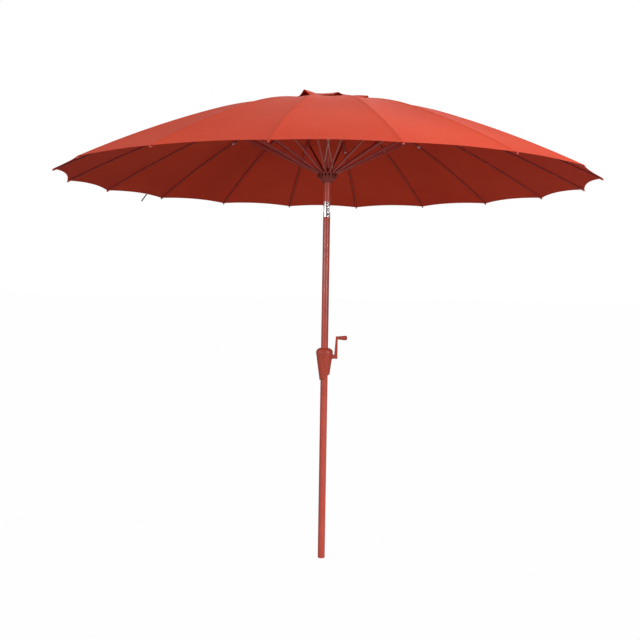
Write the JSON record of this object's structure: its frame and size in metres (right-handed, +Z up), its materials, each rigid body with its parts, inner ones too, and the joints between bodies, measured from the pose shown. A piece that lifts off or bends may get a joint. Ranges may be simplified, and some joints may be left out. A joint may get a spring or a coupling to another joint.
{
  "type": "patio umbrella",
  "caption": "Round patio umbrella with a domed cloth canopy on folding ribs, a crank that opens it, and a tilting head.",
  "frame": {"origin": "bottom centre of the pole, on its axis", "axes": "+Z up the pole; +X towards the crank and the way the head tilts; +Y away from the front"},
  "size_m": [2.7092, 2.678, 2.4592],
  "materials": {
    "pole_paint": "satin",
    "housing_plastic": "satin",
    "hub_plastic": "matte",
    "black_plastic": "matte",
    "button_plastic": "satin",
    "steel": "satin",
    "tilt_chrome": "polished",
    "rib_fibre": "satin",
    "strut_paint": "satin",
    "canopy_cloth": "matte",
    "cap_cloth": "matte",
    "cord": "matte",
    "strap_web": "matte"
  },
  "bodies": {
    "stand": {"lower_pole": "pole_paint", "foot_plug": "black_plastic", "pole_coupler": "steel", "middle_pole": "pole_paint", "crank_housing_front": "housing_plastic", "crank_housing_back": "housing_plastic", "housing_screws": "steel", "tilt_socket": "tilt_chrome", "tilt_pin": "steel"},
    "crank": {"crank_spool": "steel", "crank_arm": "housing_plastic"},
    "knob": {"crank_knob": "housing_plastic"},
    "pawl": {"pawl": "steel"},
    "button": {"tilt_button": "button_plastic"},
    "head": {"tilt_swivel": "tilt_chrome", "upper_pole": "pole_paint", "top_hub": "hub_plastic", "canopy": "canopy_cloth", "vent_cap": "cap_cloth", "finial": "hub_plastic", "pull_cord": "cord", "tie_strap": "strap_web"},
    "pulley": {"top_pulley": "hub_plastic"},
    "runner": {"runner": "hub_plastic"},
    "rib_01": {"rib_01": "rib_fibre"},
    "rib_02": {"rib_02": "rib_fibre"},
    "rib_03": {"rib_03": "rib_fibre"},
    "rib_04": {"rib_04": "rib_fibre"},
    "rib_05": {"rib_05": "rib_fibre"},
    "rib_06": {"rib_06": "rib_fibre"},
    "rib_07": {"rib_07": "rib_fibre"},
    "rib_08": {"rib_08": "rib_fibre"},
    "rib_09": {"rib_09": "rib_fibre"},
    "rib_10": {"rib_10": "rib_fibre"},
    "rib_11": {"rib_11": "rib_fibre"},
    "rib_12": {"rib_12": "rib_fibre"},
    "rib_13": {"rib_13": "rib_fibre"},
    "rib_14": {"rib_14": "rib_fibre"},
    "rib_15": {"rib_15": "rib_fibre"},
    "rib_16": {"rib_16": "rib_fibre"},
    "rib_17": {"rib_17": "rib_fibre"},
    "rib_18": {"rib_18": "rib_fibre"},
    "strut_01": {"strut_01": "strut_paint"},
    "strut_02": {"strut_02": "strut_paint"},
    "strut_03": {"strut_03": "strut_paint"},
    "strut_04": {"strut_04": "strut_paint"},
    "strut_05": {"strut_05": "strut_paint"},
    "strut_06": {"strut_06": "strut_paint"},
    "strut_07": {"strut_07": "strut_paint"},
    "strut_08": {"strut_08": "strut_paint"},
    "strut_09": {"strut_09": "strut_paint"},
    "strut_10": {"strut_10": "strut_paint"},
    "strut_11": {"strut_11": "strut_paint"},
    "strut_12": {"strut_12": "strut_paint"},
    "strut_13": {"strut_13": "strut_paint"},
    "strut_14": {"strut_14": "strut_paint"},
    "strut_15": {"strut_15": "strut_paint"},
    "strut_16": {"strut_16": "strut_paint"},
    "strut_17": {"strut_17": "strut_paint"},
    "strut_18": {"strut_18": "strut_paint"}
  },
  "joints": [
    {"name": "crank_turn", "type": "hinge", "parent": "stand", "child": "crank", "pos_m": [0, 0, 1.088], "axis": [1, 0, 0], "range_deg": [-5040, 0]},
    {"name": "knob_spin", "type": "hinge", "parent": "crank", "child": "knob", "pos_m": [0.095, 0, 1.188], "axis": [1, 0, 0], "continuous": true},
    {"name": "pawl_swing", "type": "hinge", "parent": "stand", "child": "pawl", "pos_m": [-0.025, 0, 1.064], "axis": [1, 0, 0], "range_deg": [0, 16]},
    {"name": "tilt_button_press", "type": "slide", "parent": "stand", "child": "button", "axis": [-0.4226, 0.9063, 0], "range_m": [0, 0.004], "stiffness_N_per_m": 600, "springref_m": -0.002},
    {"name": "head_tilt", "type": "hinge", "parent": "stand", "child": "head", "pos_m": [0, 0, 1.863], "axis": [0, 1, 0], "range_deg": [0, 35]},
    {"name": "pulley_turn", "type": "hinge", "parent": "head", "child": "pulley", "pos_m": [0, 0, 2.346], "axis": [1, 0, 0], "range_deg": [-3860, 0]},
    {"name": "runner_slide", "type": "slide", "parent": "head", "child": "runner", "axis": [0, 0, 1], "range_m": [-0.7845, 0], "deforming": ["pull_cord"]},
    {"name": "rib_01_fold", "type": "hinge", "parent": "head", "child": "rib_01", "pos_m": [0.00738, -0.03728, 2.39614], "axis": [0.981, 0.1942, 0], "range_deg": [0, 66.6]},
    {"name": "strut_01_fold", "type": "hinge", "parent": "rib_01", "child": "strut_01", "pos_m": [0.1146, -0.57876, 2.29431], "axis": [0.981, 0.1942, 0], "range_deg": [-121, 0]},
    {"name": "rib_02_fold", "type": "hinge", "parent": "head", "child": "rib_02", "pos_m": [0.01969, -0.0325, 2.39614], "axis": [0.8554, 0.518, 0], "range_deg": [0, 66.6]},
    {"name": "strut_02_fold", "type": "hinge", "parent": "rib_02", "child": "strut_02", "pos_m": [0.30564, -0.50467, 2.29431], "axis": [0.8554, 0.518, 0], "range_deg": [-121, 0]},
    {"name": "rib_03_fold", "type": "hinge", "parent": "head", "child": "rib_03", "pos_m": [0.02961, -0.02381, 2.39614], "axis": [0.6266, 0.7793, 0], "range_deg": [0, 66.6]},
    {"name": "strut_03_fold", "type": "hinge", "parent": "rib_03", "child": "strut_03", "pos_m": [0.45981, -0.3697, 2.29431], "axis": [0.6266, 0.7793, 0], "range_deg": [-121, 0]},
    {"name": "rib_04_fold", "type": "hinge", "parent": "head", "child": "rib_04", "pos_m": [0.03597, -0.01225, 2.39614], "axis": [0.3223, 0.9466, 0], "range_deg": [0, 66.6]},
    {"name": "strut_04_fold", "type": "hinge", "parent": "rib_04", "child": "strut_04", "pos_m": [0.55852, -0.19014, 2.29431], "axis": [0.3223, 0.9466, 0], "range_deg": [-121, 0]},
    {"name": "rib_05_fold", "type": "hinge", "parent": "head", "child": "rib_05", "pos_m": [0.03799, 0.0008, 2.39614], "axis": [-0.0209, 0.9998, 0], "range_deg": [0, 66.6]},
    {"name": "strut_05_fold", "type": "hinge", "parent": "rib_05", "child": "strut_05", "pos_m": [0.58987, 0.01236, 2.29431], "axis": [-0.0209, 0.9998, 0], "range_deg": [-121, 0]},
    {"name": "rib_06_fold", "type": "hinge", "parent": "head", "child": "rib_06", "pos_m": [0.03543, 0.01374, 2.39614], "axis": [-0.3616, 0.9323, 0], "range_deg": [0, 66.6]},
    {"name": "strut_06_fold", "type": "hinge", "parent": "rib_06", "child": "strut_06", "pos_m": [0.55007, 0.21336, 2.29431], "axis": [-0.3616, 0.9323, 0], "range_deg": [-121, 0]},
    {"name": "rib_07_fold", "type": "hinge", "parent": "head", "child": "rib_07", "pos_m": [0.02859, 0.02503, 2.39614], "axis": [-0.6587, 0.7524, 0], "range_deg": [0, 66.6]},
    {"name": "strut_07_fold", "type": "hinge", "parent": "rib_07", "child": "strut_07", "pos_m": [0.44393, 0.38863, 2.29431], "axis": [-0.6587, 0.7524, 0], "range_deg": [-121, 0]},
    {"name": "rib_08_fold", "type": "hinge", "parent": "head", "child": "rib_08", "pos_m": [0.01831, 0.0333, 2.39614], "axis": [-0.8763, 0.4818, 0], "range_deg": [0, 66.6]},
    {"name": "strut_08_fold", "type": "hinge", "parent": "rib_08", "child": "strut_08", "pos_m": [0.28424, 0.51702, 2.29431], "axis": [-0.8763, 0.4818, 0], "range_deg": [-121, 0]},
    {"name": "rib_09_fold", "type": "hinge", "parent": "head", "child": "rib_09", "pos_m": [0.00581, 0.03755, 2.39614], "axis": [-0.9882, 0.153, 0], "range_deg": [0, 66.6]},
    {"name": "strut_09_fold", "type": "hinge", "parent": "rib_09", "child": "strut_09", "pos_m": [0.09026, 0.58305, 2.29431], "axis": [-0.9882, 0.153, 0], "range_deg": [-121, 0]},
    {"name": "rib_10_fold", "type": "hinge", "parent": "head", "child": "rib_10", "pos_m": [-0.00738, 0.03728, 2.39614], "axis": [-0.981, -0.1942, 0], "range_deg": [0, 66.6]},
    {"name": "strut_10_fold", "type": "hinge", "parent": "rib_10", "child": "strut_10", "pos_m": [-0.1146, 0.57876, 2.29431], "axis": [-0.981, -0.1942, 0], "range_deg": [-121, 0]},
    {"name": "rib_11_fold", "type": "hinge", "parent": "head", "child": "rib_11", "pos_m": [-0.01969, 0.0325, 2.39614], "axis": [-0.8554, -0.518, 0], "range_deg": [0, 66.6]},
    {"name": "strut_11_fold", "type": "hinge", "parent": "rib_11", "child": "strut_11", "pos_m": [-0.30564, 0.50467, 2.29431], "axis": [-0.8554, -0.518, 0], "range_deg": [-121, 0]},
    {"name": "rib_12_fold", "type": "hinge", "parent": "head", "child": "rib_12", "pos_m": [-0.02961, 0.02381, 2.39614], "axis": [-0.6266, -0.7793, 0], "range_deg": [0, 66.6]},
    {"name": "strut_12_fold", "type": "hinge", "parent": "rib_12", "child": "strut_12", "pos_m": [-0.45981, 0.3697, 2.29431], "axis": [-0.6266, -0.7793, 0], "range_deg": [-121, 0]},
    {"name": "rib_13_fold", "type": "hinge", "parent": "head", "child": "rib_13", "pos_m": [-0.03597, 0.01225, 2.39614], "axis": [-0.3223, -0.9466, 0], "range_deg": [0, 66.6]},
    {"name": "strut_13_fold", "type": "hinge", "parent": "rib_13", "child": "strut_13", "pos_m": [-0.55852, 0.19014, 2.29431], "axis": [-0.3223, -0.9466, 0], "range_deg": [-121, 0]},
    {"name": "rib_14_fold", "type": "hinge", "parent": "head", "child": "rib_14", "pos_m": [-0.03799, -0.0008, 2.39614], "axis": [0.0209, -0.9998, 0], "range_deg": [0, 66.6]},
    {"name": "strut_14_fold", "type": "hinge", "parent": "rib_14", "child": "strut_14", "pos_m": [-0.58987, -0.01236, 2.29431], "axis": [0.0209, -0.9998, 0], "range_deg": [-121, 0]},
    {"name": "rib_15_fold", "type": "hinge", "parent": "head", "child": "rib_15", "pos_m": [-0.03543, -0.01374, 2.39614], "axis": [0.3616, -0.9323, 0], "range_deg": [0, 66.6]},
    {"name": "strut_15_fold", "type": "hinge", "parent": "rib_15", "child": "strut_15", "pos_m": [-0.55007, -0.21336, 2.29431], "axis": [0.3616, -0.9323, 0], "range_deg": [-121, 0]},
    {"name": "rib_16_fold", "type": "hinge", "parent": "head", "child": "rib_16", "pos_m": [-0.02859, -0.02503, 2.39614], "axis": [0.6587, -0.7524, 0], "range_deg": [0, 66.6]},
    {"name": "strut_16_fold", "type": "hinge", "parent": "rib_16", "child": "strut_16", "pos_m": [-0.44393, -0.38863, 2.29431], "axis": [0.6587, -0.7524, 0], "range_deg": [-121, 0]},
    {"name": "rib_17_fold", "type": "hinge", "parent": "head", "child": "rib_17", "pos_m": [-0.01831, -0.0333, 2.39614], "axis": [0.8763, -0.4818, 0], "range_deg": [0, 66.6]},
    {"name": "strut_17_fold", "type": "hinge", "parent": "rib_17", "child": "strut_17", "pos_m": [-0.28424, -0.51702, 2.29431], "axis": [0.8763, -0.4818, 0], "range_deg": [-121, 0]},
    {"name": "rib_18_fold", "type": "hinge", "parent": "head", "child": "rib_18", "pos_m": [-0.00581, -0.03755, 2.39614], "axis": [0.9882, -0.153, 0], "range_deg": [0, 66.6]},
    {"name": "strut_18_fold", "type": "hinge", "parent": "rib_18", "child": "strut_18", "pos_m": [-0.09026, -0.58305, 2.29431], "axis": [0.9882, -0.153, 0], "range_deg": [-121, 0]}
  ],
  "couplings": [
    {"joint": "pulley_turn", "follows": "crank_turn", "ratio": 0.76},
    {"joint": "runner_slide", "follows": "crank_turn", "m_per_rad": 0.0089078},
    {"joint": "rib_01_fold", "follows": "crank_turn", "ratio": -0.013192},
    {"joint": "strut_01_fold", "follows": "crank_turn", "ratio": 0.023985},
    {"joint": "rib_02_fold", "follows": "crank_turn", "ratio": -0.013192},
    {"joint": "strut_02_fold", "follows": "crank_turn", "ratio": 0.023985},
    {"joint": "rib_03_fold", "follows": "crank_turn", "ratio": -0.013192},
    {"joint": "strut_03_fold", "follows": "crank_turn", "ratio": 0.023985},
    {"joint": "rib_04_fold", "follows": "crank_turn", "ratio": -0.013192},
    {"joint": "strut_04_fold", "follows": "crank_turn", "ratio": 0.023985},
    {"joint": "rib_05_fold", "follows": "crank_turn", "ratio": -0.013192},
    {"joint": "strut_05_fold", "follows": "crank_turn", "ratio": 0.023985},
    {"joint": "rib_06_fold", "follows": "crank_turn", "ratio": -0.013192},
    {"joint": "strut_06_fold", "follows": "crank_turn", "ratio": 0.023985},
    {"joint": "rib_07_fold", "follows": "crank_turn", "ratio": -0.013192},
    {"joint": "strut_07_fold", "follows": "crank_turn", "ratio": 0.023985},
    {"joint": "rib_08_fold", "follows": "crank_turn", "ratio": -0.013192},
    {"joint": "strut_08_fold", "follows": "crank_turn", "ratio": 0.023985},
    {"joint": "rib_09_fold", "follows": "crank_turn", "ratio": -0.013192},
    {"joint": "strut_09_fold", "follows": "crank_turn", "ratio": 0.023985},
    {"joint": "rib_10_fold", "follows": "crank_turn", "ratio": -0.013192},
    {"joint": "strut_10_fold", "follows": "crank_turn", "ratio": 0.023985},
    {"joint": "rib_11_fold", "follows": "crank_turn", "ratio": -0.013192},
    {"joint": "strut_11_fold", "follows": "crank_turn", "ratio": 0.023985},
    {"joint": "rib_12_fold", "follows": "crank_turn", "ratio": -0.013192},
    {"joint": "strut_12_fold", "follows": "crank_turn", "ratio": 0.023985},
    {"joint": "rib_13_fold", "follows": "crank_turn", "ratio": -0.013192},
    {"joint": "strut_13_fold", "follows": "crank_turn", "ratio": 0.023985},
    {"joint": "rib_14_fold", "follows": "crank_turn", "ratio": -0.013192},
    {"joint": "strut_14_fold", "follows": "crank_turn", "ratio": 0.023985},
    {"joint": "rib_15_fold", "follows": "crank_turn", "ratio": -0.013192},
    {"joint": "strut_15_fold", "follows": "crank_turn", "ratio": 0.023985},
    {"joint": "rib_16_fold", "follows": "crank_turn", "ratio": -0.013192},
    {"joint": "strut_16_fold", "follows": "crank_turn", "ratio": 0.023985},
    {"joint": "rib_17_fold", "follows": "crank_turn", "ratio": -0.013192},
    {"joint": "strut_17_fold", "follows": "crank_turn", "ratio": 0.023985},
    {"joint": "rib_18_fold", "follows": "crank_turn", "ratio": -0.013192},
    {"joint": "strut_18_fold", "follows": "crank_turn", "ratio": 0.023985}
  ]
}
